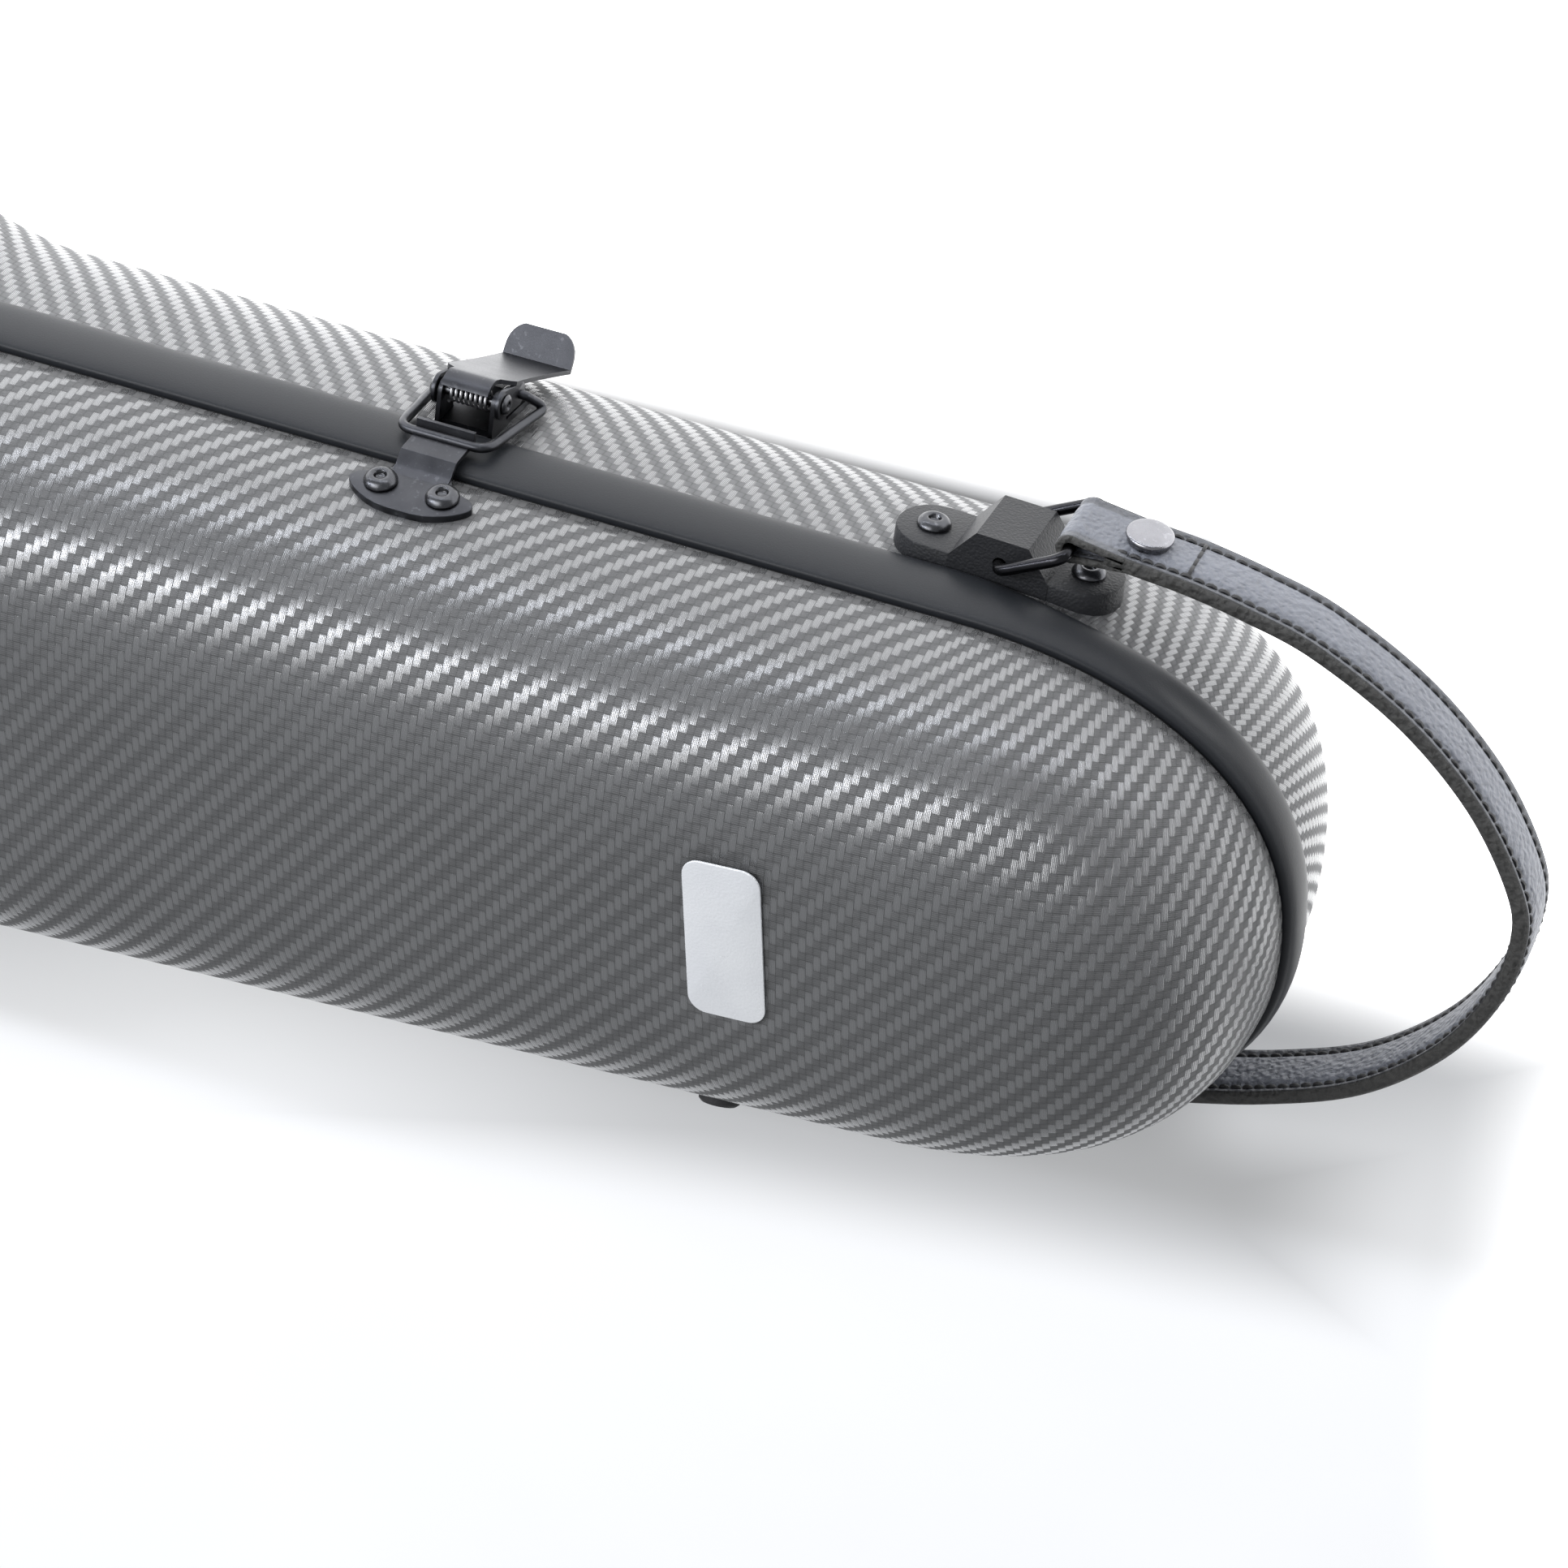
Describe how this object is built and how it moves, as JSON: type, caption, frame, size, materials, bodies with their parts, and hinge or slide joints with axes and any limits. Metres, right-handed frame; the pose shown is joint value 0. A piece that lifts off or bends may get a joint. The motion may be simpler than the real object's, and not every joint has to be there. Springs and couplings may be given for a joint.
{
  "type": "violin case",
  "caption": "Hard shaped violin case with a woven-look shell, rubber rim band, draw latches, carrying handle, strap rings and a leather neck strap",
  "frame": {"origin": "middle of the flat back that the closed case lies on", "axes": "+X towards the narrow end, +Y towards the latches and the handle, +Z towards the lid"},
  "size_m": [0.8507, 0.3018, 0.1538],
  "materials": {
    "woven_shell": "grey 2 by 2 twill weave under clear lacquer",
    "band_rubber": "satin dark grey",
    "seal_rubber": "matt black",
    "lining_velvet": "dark velvet over foam",
    "black_steel": "satin black plating",
    "dark_rivet": "dark nickel",
    "spring_steel": "blued spring wire",
    "bracket_plastic": "fine moulded texture, black",
    "grey_leather": "pebbled, grey blue",
    "snap_chrome": "polished",
    "foot_rubber": "matt black",
    "badge_white": "white, bare"
  },
  "bodies": {
    "base": {"base_shell": "woven_shell", "rim_band": "band_rubber", "rim_seal": "seal_rubber", "base_lining": "lining_velvet", "base_foot_1": "foot_rubber", "base_foot_2": "foot_rubber", "bracket_narrow_latch": "bracket_plastic", "bracket_narrow_latch_rivet_a": "dark_rivet", "bracket_narrow_latch_rivet_b": "dark_rivet", "bracket_narrow_hinge": "bracket_plastic", "bracket_narrow_hinge_rivet_a": "dark_rivet", "bracket_narrow_hinge_rivet_b": "dark_rivet", "bracket_wide_latch": "bracket_plastic", "bracket_wide_latch_rivet_a": "dark_rivet", "bracket_wide_latch_rivet_b": "dark_rivet", "bracket_wide_hinge": "bracket_plastic", "bracket_wide_hinge_rivet_a": "dark_rivet", "bracket_wide_hinge_rivet_b": "dark_rivet", "ring_narrow_latch": "black_steel", "ring_narrow_hinge": "black_steel", "neck_strap": "grey_leather", "snap_latch": "snap_chrome", "snap_hinge": "snap_chrome", "hinge_1_base_leaf": "black_steel", "hinge_1_pin": "dark_rivet", "latch_1_mount": "black_steel", "latch_1_pin": "dark_rivet", "latch_1_spring": "spring_steel", "hinge_2_base_leaf": "black_steel", "hinge_2_pin": "dark_rivet", "latch_2_mount": "black_steel", "latch_2_pin": "dark_rivet", "latch_2_spring": "spring_steel", "handle_holder_a": "bracket_plastic", "handle_holder_b": "bracket_plastic"},
    "lid": {"lid_shell": "woven_shell", "lid_lining": "lining_velvet", "badge_plate": "badge_white", "lid_foot_1": "foot_rubber", "lid_foot_2": "foot_rubber", "hinge_1_lid_leaf": "black_steel", "hinge_2_lid_leaf": "black_steel", "keeper_1": "black_steel", "keeper_1_rivet_a": "dark_rivet", "keeper_1_rivet_b": "dark_rivet", "keeper_2": "black_steel", "keeper_2_rivet_a": "dark_rivet", "keeper_2_rivet_b": "dark_rivet"},
    "latch_1_lever": {"latch_1_lever": "black_steel"},
    "latch_1_bail": {"latch_1_bail": "black_steel"},
    "latch_2_lever": {"latch_2_lever": "black_steel"},
    "latch_2_bail": {"latch_2_bail": "black_steel"},
    "handle": {"handle_bow": "black_steel", "handle_grip": "grey_leather"},
    "ring_wide_latch": {"ring_wide_latch": "black_steel"},
    "ring_wide_hinge": {"ring_wide_hinge": "black_steel"},
    "bow_holder_1": {"bow_holder_1": "bracket_plastic"},
    "bow_holder_2": {"bow_holder_2": "bracket_plastic"}
  },
  "joints": [
    {"name": "lid_hinge", "type": "hinge", "parent": "base", "child": "lid", "pos_m": [-0.183, -0.1372, 0.09075], "axis": [1, 0, 0], "range_deg": [0, 100]},
    {"name": "latch_1_lever_turn", "type": "hinge", "parent": "base", "child": "latch_1_lever", "pos_m": [0.16041, 0.0906, 0.06725], "axis": [0.999, -0.0441, 0], "range_deg": [0, 120]},
    {"name": "latch_1_bail_turn", "type": "hinge", "parent": "latch_1_lever", "child": "latch_1_bail", "pos_m": [0.16031, 0.0883, 0.05775], "axis": [0.999, -0.0441, 0], "range_deg": [-120, 0]},
    {"name": "latch_2_lever_turn", "type": "hinge", "parent": "base", "child": "latch_2_lever", "pos_m": [-0.247, 0.1403, 0.06725], "axis": [1, 0, 0], "range_deg": [0, 120]},
    {"name": "latch_2_bail_turn", "type": "hinge", "parent": "latch_2_lever", "child": "latch_2_bail", "pos_m": [-0.247, 0.138, 0.05775], "axis": [1, 0, 0], "range_deg": [-120, 0]},
    {"name": "handle_turn", "type": "hinge", "parent": "base", "child": "handle", "pos_m": [-0.165, 0.143, 0.05875], "axis": [1, 0, 0], "range_deg": [0, 150]},
    {"name": "ring_wide_latch_turn", "type": "hinge", "parent": "base", "child": "ring_wide_latch", "pos_m": [-0.30017, 0.13639, 0.06125], "axis": [0, 0, 1], "range_deg": [-22, 130]},
    {"name": "ring_wide_hinge_turn", "type": "hinge", "parent": "base", "child": "ring_wide_hinge", "pos_m": [-0.30017, -0.13639, 0.06125], "axis": [0, 0, -1], "range_deg": [-22, 130]},
    {"name": "bow_holder_1_turn", "type": "hinge", "parent": "lid", "child": "bow_holder_1", "pos_m": [-0.165, 0.03, 0.14095], "axis": [0, 0, 1], "range_deg": [0, 90]},
    {"name": "bow_holder_2_turn", "type": "hinge", "parent": "lid", "child": "bow_holder_2", "pos_m": [-0.165, -0.03, 0.14095], "axis": [0, 0, -1], "range_deg": [0, 90]}
  ],
  "couplings": [
    {"joint": "latch_1_bail_turn", "follows": "latch_1_lever_turn", "ratio": -1},
    {"joint": "latch_2_bail_turn", "follows": "latch_2_lever_turn", "ratio": -1}
  ]
}
